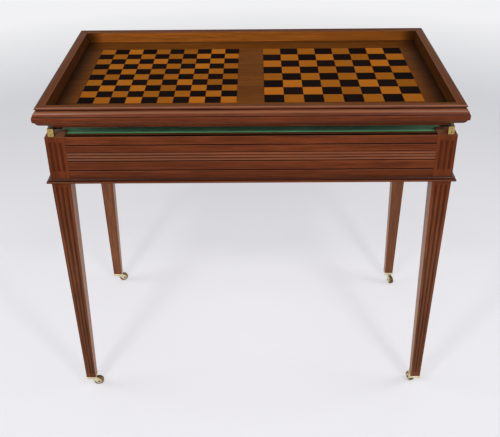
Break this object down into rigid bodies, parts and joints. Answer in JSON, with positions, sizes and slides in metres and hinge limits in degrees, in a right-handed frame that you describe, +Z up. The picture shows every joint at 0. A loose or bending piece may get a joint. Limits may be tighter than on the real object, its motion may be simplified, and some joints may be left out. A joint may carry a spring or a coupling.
{
  "type": "roulette table",
  "caption": "Mahogany games table: a tray with inlaid draughts and chess boards lifts off a baize top with a sunk roulette wheel, on fluted tapered legs with castors.",
  "frame": {"origin": "on the floor, under the middle of the table's box", "axes": "+Z up; +X along the table's length, towards the chess board; +Y across the table, away from a player at its front long side"},
  "size_m": [0.8698, 0.5038, 0.76],
  "materials": {
    "mahogany": "French-polished red-brown mahogany with a straight dark grain",
    "inlay": "polished veneer squares, orange satinwood and black ebony in turn",
    "baize": "green woollen baize, matt, faded",
    "brass": "aged polished brass",
    "steel": "dark worn steel",
    "bronze": "oiled turned bronze",
    "castor_wheel": "turned brass, dull and darkened on the tread"
  },
  "bodies": {
    "table": {"leg_back_left": "mahogany", "leg_back_right": "mahogany", "leg_front_left": "mahogany", "leg_front_right": "mahogany", "apron_back": "mahogany", "apron_front": "mahogany", "apron_left": "mahogany", "apron_right": "mahogany", "waist_moulding_back": "mahogany", "waist_moulding_front": "mahogany", "waist_moulding_left": "mahogany", "waist_moulding_right": "mahogany", "bottom_board": "mahogany", "playing_board": "mahogany", "baize_field": "baize", "socket_back_left": "brass", "socket_back_right": "brass", "socket_front_left": "brass", "socket_front_right": "brass", "wheel_bowl": "mahogany", "spindle": "steel", "castor_plate_back_left": "brass", "castor_plate_back_right": "brass", "castor_plate_front_left": "brass", "castor_plate_front_right": "brass"},
    "tray": {"tray_side_back": "mahogany", "tray_side_front": "mahogany", "tray_side_left": "mahogany", "tray_side_right": "mahogany", "tray_panel": "mahogany", "tray_underboard": "mahogany", "draughts_board": "inlay", "chess_board": "inlay", "tray_pin_back_left": "steel", "tray_pin_back_right": "steel", "tray_pin_front_left": "steel", "tray_pin_front_right": "steel"},
    "roulette_wheel": {"wheel_head": "mahogany", "fret_ring": "brass", "wheel_bush": "bronze", "turret": "brass"},
    "castor_fork_back_left": {"castor_fork_back_left": "brass", "castor_axle_back_left": "steel"},
    "castor_wheel_back_left": {"castor_wheel_back_left": "castor_wheel"},
    "castor_fork_back_right": {"castor_fork_back_right": "brass", "castor_axle_back_right": "steel"},
    "castor_wheel_back_right": {"castor_wheel_back_right": "castor_wheel"},
    "castor_fork_front_left": {"castor_fork_front_left": "brass", "castor_axle_front_left": "steel"},
    "castor_wheel_front_left": {"castor_wheel_front_left": "castor_wheel"},
    "castor_fork_front_right": {"castor_fork_front_right": "brass", "castor_axle_front_right": "steel"},
    "castor_wheel_front_right": {"castor_wheel_front_right": "castor_wheel"}
  },
  "joints": [
    {"name": "tray_lift", "type": "slide", "parent": "table", "child": "tray", "axis": [0, 0, 1], "range_m": [0, 0.15]},
    {"name": "roulette_spin", "type": "hinge", "parent": "table", "child": "roulette_wheel", "pos_m": [0, 0, 0.65], "axis": [0, 0, 1], "continuous": true},
    {"name": "castor_swivel_back_left", "type": "hinge", "parent": "table", "child": "castor_fork_back_left", "pos_m": [-0.40175, 0.21875, 0.02], "axis": [0, 0, 1], "continuous": true},
    {"name": "castor_swivel_back_right", "type": "hinge", "parent": "table", "child": "castor_fork_back_right", "pos_m": [0.40175, 0.21875, 0.02], "axis": [0, 0, 1], "continuous": true},
    {"name": "castor_swivel_front_left", "type": "hinge", "parent": "table", "child": "castor_fork_front_left", "pos_m": [-0.40175, -0.21875, 0.02], "axis": [0, 0, 1], "continuous": true},
    {"name": "castor_swivel_front_right", "type": "hinge", "parent": "table", "child": "castor_fork_front_right", "pos_m": [0.40175, -0.21875, 0.02], "axis": [0, 0, 1], "continuous": true},
    {"name": "castor_roll_back_left", "type": "hinge", "parent": "castor_fork_back_left", "child": "castor_wheel_back_left", "pos_m": [-0.38833, 0.2265, 0.012], "axis": [0.5, -0.866, 0], "continuous": true},
    {"name": "castor_roll_back_right", "type": "hinge", "parent": "castor_fork_back_right", "child": "castor_wheel_back_right", "pos_m": [0.40705, 0.20419, 0.012], "axis": [-0.9397, -0.342, 0], "continuous": true},
    {"name": "castor_roll_front_left", "type": "hinge", "parent": "castor_fork_front_left", "child": "castor_wheel_front_left", "pos_m": [-0.38659, -0.21553, 0.012], "axis": [0.2079, -0.9781, 0], "continuous": true},
    {"name": "castor_roll_front_right", "type": "hinge", "parent": "castor_fork_front_right", "child": "castor_wheel_front_right", "pos_m": [0.39447, -0.20506, 0.012], "axis": [0.8829, 0.4695, 0], "continuous": true}
  ]
}
